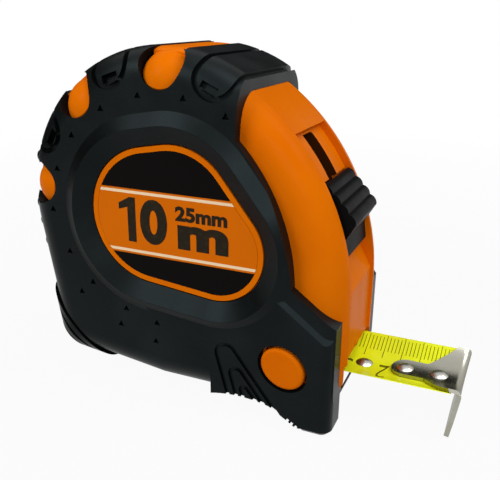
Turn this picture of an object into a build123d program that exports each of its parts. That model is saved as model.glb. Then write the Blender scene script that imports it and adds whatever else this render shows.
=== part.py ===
"""Tape measure: two ABS half shells in a rubber jacket, a sprung reel, a steel blade and a thumb lock.

X points out of the mouth along the blade, Y from the label side to the clip side, Z up.
While it is modelled the reel axis stands at X = 0, Y = 0; the export sets the origin below the middle.
"""
from build123d import *
import os
from math import asin, atan2, cos, degrees, radians, sin, sqrt, tan

# Reel and case, in millimetres
axis_height = 52.3
case_radius = 38.5
case_half = 18.5
case_shoulder = 7.0
case_floor = 7.4
case_corner = 5.0
belly_turn = -1.0
belly_rise = 7.0
front_radius = 63.0
front_blend_angle = 56.0
rear_line_angle = 190.0
fit_gap = 0.1
chamber_radius = 34.0
chamber_half = 14.0
channel_half = 13.6
channel_floor = 8.6
channel_top = 19.0
channel_rear = -31.0
front_wall = 5.0
front_room_rear = 15.0
front_room_top = 78.0
mouth_top = 16.2
notch_depth = 8.3
notch_top = 8.6

# Rubber jacket
jacket_wall = 3.0
jacket_side = 2.8
jacket_shoulder = 7.5
crown_edge_x = 22.3
crown_edge_z = 83.0
crown_turn_x = 21.9
crown_turn_z = 72.8
brow_x = 32.0
brow_z = 58.2
wing_half = 22.1
wing_setback = 1.0
wing_front_top = 29.7
wing_rear = 36.8
wing_rear_top = 38.2
wing_corner = 3.0
wing_sole_edge = 1.2
wing_bevel_width = 4.6
wing_bevel_depth = 3.0
panel_rear_x = -22.0
panel_turn_z = 24.0
panel_step_z = 9.0
panel_radius = 15.5
foot_rear = 15.3
foot_arch = 6.3
foot_low = 5.2
toe_slope_x = 32.0
toe_slope_z = 5.4
toe_bend_x = 36.5
toe_bend_z = 2.8
toe_length = 7.3
toe_grooves = 4
toe_groove_width = 0.7
toe_groove_depth = 0.7
keel_rear = -26.0
keel_half = 4.5
keel_root_half = 9.0
keel_root = 9.0
keel_end = 3.0
heel_line = (-33.7, 22.0)
heel_line_angle = -46.0
heel_proud = 1.3
heel_grooves = 3
heel_groove_pitch = 2.6
heel_groove_width = 1.0
heel_groove_depth = 0.8
rib_heights = [63.7, 49.8, 44.5, 38.6]
rib_radius = 2.0
rib_proud = 0.4
rib_half = 17.4
rib_end = 1.2

# Label bed and rim: circles of the label's outline as x, height over the axis, radius
label_circles = [(-1.6, -0.8, 18.0), (15.8, -7.25, 13.35), (4.4, 1.3, 17.0)]
label_border = 1.4
label_thick = 0.5
bed_half = 20.6
bed_gap = 0.35
rim_half = 23.3
rim_crest = 5.0
rim_foot = 8.5

# Cross bars through the jacket and the tread blocks between them
bar_angles = [87.0, 129.5, 173.0]
bar_waist = 8.6
bar_run = 2.0
bar_sunk = 0.4
bar_shoulder = 9.0
bar_gap = 0.25
knob_radius = 5.8
knob_dome = 7.6
knob_sunk = 1.0
knob_lean = 50.0
tread_angles = [65.0, 109.5, 151.0]
tread_width = 11.5
tread_end = 32.8
groove_width = 1.4
groove_depth = 1.1
recess_length = 4.6
recess_height = 2.2
recess_radius = 35.6
dimples = [
    (19.5, 78.5), (8.5, 82.0), (-4.0, 82.0), (-15.0, 78.2), (-24.5, 70.8), (-30.0, 61.5), (-32.5, 50.0),
    (-28.0, 38.5), (-21.0, 30.5), (-25.0, 27.0), (-10.5, 24.5), (-12.5, 19.5), (-1.0, 22.0), (-1.5, 16.5),
]
dimple_size = 1.1

# Arched grooves on the foot, left of the button: apex, feet and the scales of the three arches
arch_apex = (12.0, 33.3)
arch_feet = (21.5, 37.9)
arch_scales = [1.0, 0.7, 0.47]
arch_round = 3.3
arch_width = 1.1
arch_depth = 0.7

# Blade, its coil and the return spring
blade_half = 12.2
blade_sag = 3.6
blade_thick = 0.2
blade_level = 11.0
blade_end = 75.0
blade_start = 4.0
coil_half = 12.5
coil_outer = 31.0
coil_turns = 11
coil_strip = 0.45
drum_radius = 20.0
drum_wall = 1.6
drum_web = 1.6
reel_side_gap = 0.3
spring_turns = 9
spring_strip = 0.5
spring_inner = 6.0
spring_half = 10.5
axle_radius = 4.5
axle_fit = 0.05

# Hook and rivets
hook_thick = 0.9
hook_gap = 0.12
hook_tongue_half = 4.0
hook_tongue_length = 16.5
hook_shoulder = 7.5
hook_leg_gap = 1.1
hook_leg_thick = 1.2
hook_leg_foot = 0.4
hook_foot_half = 9.0
hook_waist = 7.0
hook_lean = 8.5
hook_fold = 1.8
hook_play = 1.0
rivet_offsets = [4.0, 12.9]
backing_tail = 2.7
rivet_radius = 1.4
rivet_fit = 0.06
rivet_head = 2.3
rivet_dome = 0.9
rivet_foot = 1.9
rivet_foot_thick = 0.4
rivet_seat_rise = 0.15
backing_half = 4.5
backing_thick = 0.3
backing_length = 26.5

# Thumb lock in the front channel: radii and angles about the front arc's centre
lock_half = 10.6
track_half = 11.5
track_depth = 1.8
pocket_depth = 3.4
ramp_depth = 0.8
track_top_angle = 42.0
pocket_top_angle = 29.5
pocket_low_angle = 8.7
ramp_angle = 2.7
pad_top_angle = 29.2
pad_low_angle = 18.8
pad_rise = 3.2
pad_ridges = 4
ridge_depth = 0.55
stem_shoulder_angle = 15.2
stem_low_angle = 11.0
stem_top_angle = 20.6
neck_half = 3.0
neck_angles = (21.8, 28.4)
slot_half = 3.35
slot_angles = (20.0, 41.5)
lock_gap = 0.3
slider_half = 5.5
slider_thick = 1.7
slider_top_angle = 41.0
tip_half = 11.6
tip_span = 3.9
tip_proud = 1.0
lock_drop = 1.0

# Stop button on the near wing
button_x = 35.3
button_z = 17.0
button_long = 6.1
button_short = 5.1
button_tilt = -35.0
button_face = 22.5
button_edge = 0.9
button_under = 18.9
button_gap = 0.25
button_ring_gap = 0.8
button_sink = 17.1
shank_radius = 3.0
shank_fit = 0.06
shank_end = 14.9
spring_seat = 16.0
spring_wire = 0.4
spring_coil = 4.0
spring_loops = 2.5
pad_radius = 3.8
pad_thick = 1.0
pad_room = 4.2
pad_room_depth = 15.0

# Bumper, screws and belt clip
bumper_thick = 1.4
bumper_foot = 2.6
bumper_half = 13.3
bumper_top = 14.0
bumper_relief_half = 5.6
bumper_relief = 9.4
screw_places = [(33.0, 24.5), (-28.5, 24.5)]
screw_radius = 1.5
screw_head = 3.0
screw_head_thick = 2.0
screw_reach = 8.0
screw_gap = 0.06
head_gap = 0.2
screw_boss = 3.6
clip_half = 9.0
clip_thick = 1.0
clip_gap = 5.0
clip_low = 39.5
clip_fold = 63.5
clip_tip = 33.0
clip_lip = 6.0
clip_lip_angle = 22.0
clip_corner = 3.0
clip_screw_head = 3.2
clip_screw_thick = 1.6
clip_screw_depth = 9.0
clip_screw_edge = 0.7
drive_length = 3.4
drive_width = 0.8
drive_depth = 0.9

axis_point = Vector(0, axis_height)
front_reach = front_radius - case_radius
blend_way = Vector(cos(radians(front_blend_angle)), sin(radians(front_blend_angle)))
front_centre = axis_point - blend_way * front_reach
case_front = front_centre.X + front_radius
wing_front = case_front - wing_setback
notch_rear = case_front - notch_depth
toe_sole_x = wing_front - toe_length
trough = (blade_half**2 + blade_sag**2) / (2 * blade_sag)
tail_rivet_offset = backing_length - backing_tail
shoulder_middle = case_half + jacket_side - jacket_shoulder


def side_plane(y):
    """Plane across Y at y, with X to the right, Z up and its normal towards the label side."""
    return Plane(origin=(0, y, 0), x_dir=(1, 0, 0), z_dir=(0, -1, 0))


def slab(face, y_low, y_high):
    """Solid of a side-view face from y_low to y_high."""
    return extrude(side_plane(y_high) * face, amount=y_high - y_low)


def around(centre, radius, angle):
    """Point at a radius and an angle in degrees about a centre, in the side view."""
    return centre + Vector(cos(radians(angle)), sin(radians(angle))) * radius


def lock_point(radius, angle):
    """Point about the front arc's centre, on which the thumb lock turns."""
    return around(front_centre, radius, angle)


def lock_arc(radius, start, end):
    """Arc about the front arc's centre between two angles."""
    return CenterArc(tuple(front_centre), radius, start, end - start)


def disc(x, z, radius):
    """Round side-view face."""
    return Pos(x, z) * Circle(radius)


def corner_face(x_low, z_low, x_high, z_high):
    """Rectangular side-view face between two corners."""
    return Pos(x_low, z_low) * Rectangle(x_high - x_low, z_high - z_low, align=(Align.MIN, Align.MIN))


def sector_face(inner, outer, start, end):
    """Band between two radii and two angles about the front arc's centre."""
    edges = [
        lock_arc(outer, start, end),
        Line(lock_point(outer, end), lock_point(inner, end)),
        lock_arc(inner, end, start),
        Line(lock_point(inner, start), lock_point(outer, start)),
    ]
    return make_face(edges)


def label_face(grow):
    """The label's outline, grown by an offset: arcs of three circles and the lines that touch them."""
    rings = [(axis_point + Vector(x, z), radius + grow) for x, z, radius in label_circles]
    touches = []
    for (start, r_start), (end, r_end) in zip(rings, rings[1:] + rings[:1]):
        along = (end - start).normalized()
        lean = (r_start - r_end) / (end - start).length
        out = along * lean + Vector(along.Y, -along.X) * sqrt(1 - lean**2)
        touches.append((start + out * r_start, end + out * r_end))
    edges = []
    for index, (leave, arrive) in enumerate(touches):
        centre, radius = rings[(index + 1) % len(rings)]
        depart = touches[(index + 1) % len(rings)][0]
        first = degrees(atan2(arrive.Y - centre.Y, arrive.X - centre.X))
        last = degrees(atan2(depart.Y - centre.Y, depart.X - centre.X))
        edges.append(Line(leave, arrive))
        edges.append(CenterArc(tuple(centre), radius, first, (last - first) % 360))
    return make_face(edges)


def case_face(grow):
    """Side outline of the case, grown by an offset: reel arc, front arc, floor and leaning rear."""
    radius = case_radius + grow
    front = front_centre.X + front_radius + grow
    floor = case_floor - grow
    rear_top = around(axis_point, radius, rear_line_angle)
    belly = Vector(belly_turn - grow * tan(radians(belly_rise / 2)), floor)
    rear_slope = -1 / tan(radians(rear_line_angle))
    belly_slope = -tan(radians(belly_rise))
    drop = belly.Y - rear_top.Y + rear_slope * rear_top.X - belly_slope * belly.X
    rear_x = drop / (rear_slope - belly_slope)
    rear_foot = Vector(rear_x, belly.Y + belly_slope * (rear_x - belly.X))
    edges = [
        CenterArc(tuple(axis_point), radius, front_blend_angle, rear_line_angle - front_blend_angle),
        Line(rear_top, rear_foot),
        Line(rear_foot, belly),
        Line(belly, (front, floor)),
        Line((front, floor), (front, front_centre.Y)),
        CenterArc(tuple(front_centre), front_radius + grow, 0, front_blend_angle),
    ]
    face = make_face(edges)
    rear_corner = face.vertices().sort_by_distance(rear_foot)[0]
    front_corner = face.vertices().sort_by_distance((front, floor))[0]
    return fillet([rear_corner, front_corner], case_corner + grow)


def case_body(grow, side_grow, shoulder):
    """Case outline across the full width, with its side edges rounded."""
    half = case_half + side_grow
    body = slab(case_face(grow), -half, half)
    rims = body.faces().filter_by(Axis.Y).edges()
    return fillet(rims, shoulder)


def tongue_face(angle, width, end):
    """Round-ended side-view face that runs out from the reel axis at an angle, from a radius."""
    middle = end + width / 2
    strip = Pos(middle, 0) * Rectangle(case_radius, width, align=(Align.MIN, Align.CENTER))
    tongue = strip + Pos(middle, 0) * Circle(width / 2)
    return Pos(0, axis_height) * Rot(0, 0, angle) * tongue


def build_waist(angle, grow):
    """Straight middle of a cross bar, endless outwards, grown by an offset."""
    half = shoulder_middle + bar_run + grow
    return slab(tongue_face(angle, bar_waist + 2 * grow, chamber_radius), -half, half)


def build_knob(angle, turn, grow):
    """Round post of a cross bar's knob, leaning out of the near (-1) or far (1) shoulder, and its plane."""
    spot = around(axis_point, case_radius + jacket_wall - jacket_shoulder - knob_sunk, angle)
    lean = radians(knob_lean)
    out = around(Vector(0, 0), cos(lean), angle)
    place = Plane(origin=(spot.X, turn * shoulder_middle, spot.Y), z_dir=(out.X, turn * sin(lean), out.Y))
    stem = Cylinder(knob_radius + grow, 2 * knob_dome, align=(Align.CENTER, Align.CENTER, Align.MIN))
    return place * stem, place


def build_bars():
    """Cross bars of the case: sunk waists over the crown and a domed knob on each shoulder."""
    crown = case_body(jacket_wall - bar_sunk, jacket_side - bar_sunk, bar_shoulder)
    bars = []
    for angle in bar_angles:
        bars.append(build_waist(angle, 0) & crown)
        for turn in (-1, 1):
            knob, place = build_knob(angle, turn, 0)
            bars.append(knob & place * Sphere(knob_dome))
    return bars


def halves(solid):
    """The near and the far half of a solid, split at the middle plane."""
    reach = 4 * case_radius
    near = Pos(reach / 4, -reach / 2, 0) * Box(2 * reach, reach, 2 * reach)
    far = Pos(reach / 4, reach / 2, 0) * Box(2 * reach, reach, 2 * reach)
    return solid & near, solid & far


def across(radius, x, z, y_low, y_high):
    """Round bar along Y."""
    return slab(disc(x, z, radius), y_low, y_high)


def button_face_outline(grow):
    """Oval of the stop button, leaning down to the front."""
    oval = Ellipse(button_long + grow, button_short + grow)
    return Pos(button_x, button_z) * Rot(0, 0, button_tilt) * oval


def build_channel():
    """Lock channel in the case's front: track, deeper pocket and the ramp down to the mouth."""
    clear = front_radius + 4 * track_depth
    track = front_radius - track_depth
    pocket = front_radius - pocket_depth
    ramp = front_radius - ramp_depth
    ramp_x = front_centre.X + ramp
    outer_x = front_centre.X + clear
    edges = [
        Line(lock_point(clear, track_top_angle), lock_point(track, track_top_angle)),
        lock_arc(track, track_top_angle, pocket_top_angle),
        Line(lock_point(track, pocket_top_angle), lock_point(pocket, pocket_top_angle)),
        lock_arc(pocket, pocket_top_angle, pocket_low_angle),
        Line(lock_point(pocket, pocket_low_angle), lock_point(ramp, ramp_angle)),
        Line(lock_point(ramp, ramp_angle), (ramp_x, front_centre.Y)),
        Line((ramp_x, front_centre.Y), (ramp_x, channel_floor)),
        Line((ramp_x, channel_floor), (outer_x, channel_floor)),
        Line((outer_x, channel_floor), (outer_x, front_centre.Y)),
        lock_arc(clear, 0, track_top_angle),
    ]
    return slab(make_face(edges), -track_half, track_half)


def build_case():
    """Both half shells: cross bars and label beds outside, reel chamber, front room and bosses inside."""
    body = case_body(0, 0, case_shoulder) + build_bars()
    body += slab(label_face(0), -bed_half, bed_half)
    label_bed = slab(label_face(-label_border), -2 * bed_half, label_thick - bed_half)
    inside_front = disc(front_centre.X, front_centre.Y, front_radius - front_wall)
    room = corner_face(front_room_rear, channel_floor, front_room_rear + 2 * front_radius, front_room_top)
    run = corner_face(channel_rear, channel_floor, wing_front, channel_top)
    mouth = corner_face(0, channel_floor, 2 * front_radius, mouth_top)
    body -= label_bed
    body -= slab(disc(0, axis_height, chamber_radius), -chamber_half, chamber_half)
    body -= slab(room & inside_front, -channel_half, channel_half)
    body -= slab(run & inside_front, -channel_half, channel_half)
    body -= slab(mouth, -channel_half, channel_half)
    body -= build_channel()
    slot = sector_face(front_radius - 2 * front_wall, front_radius, slot_angles[0], slot_angles[1])
    body -= slab(slot, -slot_half, slot_half)
    body -= build_notch()
    for x, z in screw_places:
        body += across(screw_boss, x, z, -chamber_half, chamber_half)
    near, far = halves(body)
    near -= slab(button_face_outline(button_gap), -2 * case_half, -button_sink)
    near -= across(spring_coil + spring_wire + lock_gap, button_x, button_z, -2 * case_half, -spring_seat)
    near -= across(shank_radius + shank_fit, button_x, button_z, -2 * case_half, 0)
    near -= across(pad_room, button_x, button_z, -pad_room_depth, -channel_half)
    for x, z in screw_places:
        near -= across(screw_radius + screw_gap, x, z, -screw_reach - head_gap, 0)
        far -= across(screw_radius + screw_gap, x, z, 0, 2 * case_half)
        far -= across(screw_head + head_gap, x, z, case_half - screw_head_thick, 2 * case_half)
    far -= across(screw_radius + screw_gap, 0, axis_height, 0, 2 * case_half)
    return near, far


def build_notch():
    """Gap between the two toes, where the hook parks below the blade."""
    gap = corner_face(notch_rear, -notch_top, notch_rear + 2 * front_radius, notch_top)
    return slab(gap, -channel_half, channel_half)


def build_wing():
    """Front foot and wings in one slab across the case, with bevelled top edges and rounded corners."""
    arch_middle = ((foot_rear + toe_slope_x) / 2, foot_arch)
    outline = [
        ThreePointArc((foot_rear, foot_low), arch_middle, (toe_slope_x, toe_slope_z)),
        Line((toe_slope_x, toe_slope_z), (toe_bend_x, toe_bend_z)),
        Line((toe_bend_x, toe_bend_z), (toe_sole_x, 0)),
        Line((toe_sole_x, 0), (wing_front, 0)),
        Line((wing_front, 0), (wing_front, wing_front_top)),
        Line((wing_front, wing_front_top), (wing_rear, wing_rear_top)),
        Line((wing_rear, wing_rear_top), (foot_rear, axis_height)),
        Line((foot_rear, axis_height), (panel_rear_x, wing_rear_top)),
        Line((panel_rear_x, wing_rear_top), (0, panel_turn_z)),
        RadiusArc((0, panel_turn_z), (foot_rear, panel_step_z), panel_radius),
        Line((foot_rear, panel_step_z), (foot_rear, foot_low)),
    ]
    wing = slab(make_face(outline), -wing_half, wing_half)
    slant = Vector(wing_front - wing_rear, 0, wing_front_top - wing_rear_top).normalized()
    sides = wing.faces().filter_by(Axis.Y)
    for side in sides:
        slanted = side.edges().filter_by(lambda e: abs(abs((e % 0.5).dot(slant)) - 1) < 1e-6)
        wing = chamfer(slanted.sort_by(Axis.X)[-1], wing_bevel_width, wing_bevel_depth, reference=side)
    uprights = wing.edges().filter_by(Axis.Z).group_by(Axis.X)[-1]
    wing = fillet(uprights, wing_corner)
    sole = wing.faces().sort_by(Axis.Z)[0]
    return chamfer(sole.edges().sort_by(Axis.X)[1:], wing_sole_edge)


def arch_face(scale):
    """One arch of the foot's grooves: a rounded apex over two feet, scaled about the middle of the feet."""
    base = Vector(sum(arch_feet) / 2, 0)
    points = [Vector(arch_feet[0], 0), Vector(*arch_apex), Vector(arch_feet[1], 0)]
    face = make_face(Polyline([base + (point - base) * scale for point in points], close=True))
    return fillet(face.vertices().sort_by(Axis.Y)[-1], arch_round * scale)


def rear_rib(height):
    """Round grip rib across the rear, on the outline at a height."""
    radius = case_radius + jacket_wall
    angle = 180 - degrees(asin((height - axis_height) / radius))
    spot = around(axis_point, radius, angle)
    if angle > rear_line_angle:
        angle = rear_line_angle
        top = around(axis_point, radius, angle)
        spot = Vector(top.X + (top.Y - height) * tan(radians(angle)), height)
    middle = spot - around(Vector(0, 0), rib_radius - rib_proud, angle)
    rib = across(rib_radius, middle.X, middle.Y, -rib_half, rib_half)
    return fillet(rib.faces().filter_by(Axis.Y).edges(), rib_end)


def heel_strip(offset, width):
    """Side-view strip along the heel's slanted line, at an offset towards the corner."""
    strip = Pos(0, -offset) * Rectangle(2 * case_radius, width, align=(Align.CENTER, Align.MAX))
    return Pos(*heel_line) * Rot(0, 0, heel_line_angle) * strip


def build_keel():
    """Middle rail of the underside, on which the tool stands behind its toes."""
    section = make_face(Polyline((-keel_root_half, keel_root), (-keel_half, 0), (keel_half, 0),
                                 (keel_root_half, keel_root), close=True))
    keel = along_x(section, keel_rear, foot_rear + wing_corner)
    return fillet(keel.edges().filter_by(Axis.Y).sort_by(Axis.X)[0], keel_end)


def build_relief():
    """All shallow cuts in the jacket: tread grooves, recesses, dimples, heel, arch and toe grooves."""
    reach = 2 * wing_half
    floor = case_body(jacket_wall - groove_depth, jacket_side - groove_depth, jacket_shoulder)
    cuts = []
    for angle in tread_angles:
        inner = tongue_face(angle, tread_width - 2 * groove_width, tread_end + groove_width)
        cuts.append(slab(tongue_face(angle, tread_width, tread_end) - inner, -reach, reach) - floor)
        spot = Pos(0, axis_height) * Rot(0, 0, angle) * Pos(recess_radius, 0)
        cuts.append(slab(spot * Rectangle(recess_height, recess_length), -reach, reach) - floor)
    for x, z in dimples:
        cuts.append(slab(Pos(x, z) * RegularPolygon(dimple_size, 3, rotation=90), -reach, reach) - floor)
    heel_floor = case_body(jacket_wall + heel_proud - heel_groove_depth, jacket_side - heel_groove_depth,
                           jacket_shoulder)
    for groove in range(heel_grooves):
        strip = heel_strip(groove * heel_groove_pitch, heel_groove_width)
        cuts.append(slab(strip, -reach, reach) - heel_floor)
    toe_start = Vector(toe_bend_x, toe_bend_z)
    toe_run = Vector(toe_sole_x, 0) - toe_start
    for groove in range(toe_grooves):
        spot = toe_start + toe_run * (groove + 0.5) / toe_grooves
        cut = Pos(spot) * Rot(0, 0, degrees(atan2(toe_run.Y, toe_run.X)))
        cuts.append(slab(cut * Rectangle(toe_groove_width, 2 * toe_groove_depth), -reach, reach))
    for scale in arch_scales:
        band = arch_face(scale) - offset(arch_face(scale), amount=-arch_width)
        cuts.append(slab(band, -reach, arch_depth - wing_half))
        cuts.append(slab(band, wing_half - arch_depth, reach))
    return cuts


def build_jacket():
    """Both rubber halves: skin, foot with wings, heel, ribs, rim and the windows for the cross bars."""
    skin = case_body(jacket_wall, jacket_side, jacket_shoulder)
    rim_low = case_half + jacket_side - fit_gap
    rims = []
    for turn in (-1, 1):
        foot = side_plane(turn * rim_low) * label_face(rim_foot)
        crest = side_plane(turn * rim_half) * label_face(rim_crest)
        rims.append(loft([foot, crest], ruled=True))
    reach = 4 * case_radius
    cut_edges = [
        Line((wing_front, -reach), (reach, -reach)),
        Line((reach, -reach), (reach, reach)),
        Line((reach, reach), (crown_edge_x, reach)),
        Line((crown_edge_x, reach), (crown_edge_x, crown_edge_z)),
        Line((crown_edge_x, crown_edge_z), (crown_turn_x, crown_turn_z)),
        ThreePointArc((crown_turn_x, crown_turn_z), (brow_x, brow_z), (wing_rear, wing_rear_top)),
        Line((wing_rear, wing_rear_top), (wing_front, wing_front_top)),
        Line((wing_front, wing_front_top), (wing_front, -reach)),
    ]
    front_cut = slab(make_face(cut_edges), -reach, reach)
    jacket = skin + rims - front_cut
    heel = case_body(jacket_wall + heel_proud, jacket_side, jacket_shoulder)
    jacket += heel & slab(heel_strip(0, case_radius), -reach, reach)
    for height in rib_heights:
        jacket += rear_rib(height)
    jacket += build_wing()
    jacket -= build_relief()
    jacket += build_keel()
    jacket -= case_body(fit_gap, fit_gap, case_shoulder + fit_gap)
    for turn in (-1, 1):
        low = side_plane(turn * (bed_half - fit_gap)) * label_face(bed_gap)
        high = side_plane(turn * (rim_half + fit_gap)) * label_face(rim_crest)
        jacket -= loft([low, high], ruled=True)
    jacket -= slab(label_face(bed_gap), -bed_half, bed_half)
    for angle in bar_angles:
        jacket -= build_waist(angle, bar_gap)
        for turn in (-1, 1):
            jacket -= build_knob(angle, turn, bar_gap)[0]
    jacket -= build_notch()
    near, far = halves(jacket)
    near -= slab(button_face_outline(button_ring_gap), -2 * wing_half, 0)
    for x, z in screw_places:
        far -= across(screw_head + 2 * head_gap, x, z, 0, 2 * wing_half)
    return near, far


def blade_band(radius_low, radius_high, half):
    """Cross-section band that follows the blade's trough, seen along X."""
    centre = Vector(0, blade_level + trough)
    spread = degrees(asin(half / trough))
    low = trough + radius_low
    high = trough + radius_high
    edges = [
        CenterArc(tuple(centre), low, 270 - spread, 2 * spread),
        Line(around(centre, low, 270 + spread), around(centre, high, 270 + spread)),
        CenterArc(tuple(centre), high, 270 + spread, -2 * spread),
        Line(around(centre, high, 270 - spread), around(centre, low, 270 - spread)),
    ]
    return make_face(edges)


def along_x(face, x_low, x_high):
    """Solid of a cross-section face from x_low to x_high."""
    return extrude(Plane.YZ.offset(x_low) * face, amount=x_high - x_low)


def post(radius, x, z_low, z_high):
    """Upright round post on the blade's centre line."""
    stem = Cylinder(radius, z_high - z_low, align=(Align.CENTER, Align.CENTER, Align.MIN))
    return Pos(x, 0, z_low) * stem


def build_blade():
    """Straight run of the blade with its rivet holes, and the backing strip under its end."""
    run = along_x(blade_band(-blade_thick, 0, blade_half), blade_start, blade_end)
    backing = along_x(blade_band(fit_gap, fit_gap + backing_thick, backing_half),
                      blade_end - backing_length, blade_end - hook_play)
    for offset in rivet_offsets + [tail_rivet_offset]:
        hole = post(rivet_radius + rivet_fit, blade_end - offset, 0, axis_height)
        run -= hole
        backing -= hole
    return run, backing


def build_rivet(x, seat):
    """Rivet through the blade at x: dome on its seat above, flat foot under the backing strip."""
    foot_top = blade_level - fit_gap - backing_thick - fit_gap
    dome_radius = (rivet_head**2 + rivet_dome**2) / (2 * rivet_dome)
    dome = Pos(x, 0, seat + rivet_dome - dome_radius) * Sphere(dome_radius)
    rivet = dome & post(rivet_head, x, seat, seat + 2 * rivet_dome)
    rivet += post(rivet_radius, x, foot_top - rivet_foot_thick, seat + rivet_fit)
    return rivet + post(rivet_foot, x, foot_top - rivet_foot_thick, foot_top)


def build_hook():
    """End hook: tongue and shoulders that follow the trough, slotted for the rivets, and a folded leg."""
    low = -blade_thick - hook_gap
    high = low - hook_thick
    leg_back = blade_end + hook_leg_gap
    reach = leg_back + 4 * hook_leg_thick
    tongue_end = blade_end - hook_tongue_length
    tongue_turn = tongue_end + hook_tongue_half
    tongue_root = blade_end - hook_shoulder
    plan_edges = [
        Line((reach, -blade_half), (reach, blade_half)),
        Line((reach, blade_half), (blade_end, blade_half)),
        Line((blade_end, blade_half), (tongue_root, hook_tongue_half)),
        Line((tongue_root, hook_tongue_half), (tongue_turn, hook_tongue_half)),
        ThreePointArc((tongue_turn, hook_tongue_half), (tongue_end, 0), (tongue_turn, -hook_tongue_half)),
        Line((tongue_turn, -hook_tongue_half), (tongue_root, -hook_tongue_half)),
        Line((tongue_root, -hook_tongue_half), (blade_end, -blade_half)),
        Line((blade_end, -blade_half), (reach, -blade_half)),
    ]
    plan = extrude(make_face(plan_edges), amount=axis_height)
    plate = along_x(blade_band(high, low, blade_half), tongue_end, reach) & plan
    hollow = Vector(0, blade_level + trough)
    spread = degrees(asin(blade_half / trough))
    brow = around(hollow, trough + low, 270 + spread)
    crest = around(hollow, trough + 2 * high, 270 + spread)
    leg_face = make_face(Polyline(
        (-hook_foot_half, hook_leg_foot), (hook_foot_half, hook_leg_foot), (blade_half, hook_waist),
        brow, crest, (-crest.X, crest.Y), (-brow.X, brow.Y), (-blade_half, hook_waist), close=True))
    lean = Pos(leg_back, 0, blade_level) * Rot(0, hook_lean, 0)
    leg = lean * Pos(0, 0, -blade_level) * along_x(leg_face, 0, hook_leg_thick)
    beyond = Box(reach, reach, reach, align=(Align.MIN, Align.CENTER, Align.CENTER))
    above = Pos(hollow) * Circle(trough + high)
    hook = plate + leg - lean * Pos(hook_leg_thick, 0, 0) * beyond - along_x(above, blade_end, reach)
    fold = hook.edges().filter_by(lambda e: e.length > 2 * hook_foot_half).sort_by(Axis.X)[-1]
    hook = fillet(fold, hook_fold)
    for offset in rivet_offsets:
        slot = SlotOverall(2 * (rivet_radius + rivet_fit) + hook_play, 2 * (rivet_radius + rivet_fit))
        middle = blade_end - offset + hook_play / 2
        hook -= Pos(middle, 0, 0) * extrude(slot, amount=axis_height)
    return hook


def spiral_strip(inner, pitch, turns, strip, half):
    """One unbroken strip wound in half turns about two centres, its width along Y."""
    step = pitch / 2
    inner_edges = []
    outer_edges = []
    for turn in range(2 * turns):
        centre = axis_point if turn % 2 == 0 else axis_point + Vector(step, 0)
        radius = inner + turn * step
        start = 0 if turn % 2 == 0 else 180
        inner_edges.append(CenterArc(tuple(centre), radius, start, 180))
        outer_edges.append(CenterArc(tuple(centre), radius + strip, start, 180))
    caps = [
        Line(inner_edges[0] @ 0, outer_edges[0] @ 0),
        Line(inner_edges[-1] @ 1, outer_edges[-1] @ 1),
    ]
    face = make_face(inner_edges + outer_edges + caps)
    return slab(face, -half, half), inner_edges, outer_edges


def least_gap(inner_edges, outer_edges, samples=24):
    """Least distance from a strip's outer edge to its own next turn, on sampled points."""
    outer_points = [edge @ (k / samples) for edge in outer_edges[:-2] for k in range(samples)]
    inner_points = [edge @ (k / samples) for edge in inner_edges[2:] for k in range(samples)]
    return min((a - b).length for a, b in zip(outer_points, inner_points))


def build_reel():
    """Drum, cover, axle, blade coil and return spring about the reel axis."""
    drum_half = chamber_half - reel_side_gap
    cover_low = drum_half - drum_web
    drum = across(drum_radius, 0, axis_height, -drum_half, cover_low)
    drum -= across(drum_radius - drum_wall, 0, axis_height, drum_web - drum_half, cover_low)
    bore = across(axle_radius + axle_fit, 0, axis_height, -2 * drum_half, 2 * drum_half)
    drum -= bore
    cover = across(drum_radius, 0, axis_height, cover_low, drum_half) - bore
    axle = across(axle_radius, 0, axis_height, -chamber_half, chamber_half)
    screw_floor = chamber_half - clip_screw_depth - head_gap
    axle -= across(screw_radius + screw_gap, 0, axis_height, screw_floor, chamber_half)
    coil_inner = drum_radius + lock_gap
    coil_pitch = (coil_outer - coil_inner - coil_strip) / coil_turns
    coil, inner, outer = spiral_strip(coil_inner, coil_pitch, coil_turns, coil_strip, coil_half)
    print("least gap in the blade coil", round(least_gap(inner, outer), 3))
    spring_outer = drum_radius - drum_wall - lock_gap
    spring_pitch = (spring_outer - spring_inner - spring_strip) / spring_turns
    spring, inner, outer = spiral_strip(spring_inner, spring_pitch, spring_turns, spring_strip, spring_half)
    print("least gap in the power spring", round(least_gap(inner, outer), 3))
    return drum, cover, axle, coil, spring


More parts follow.
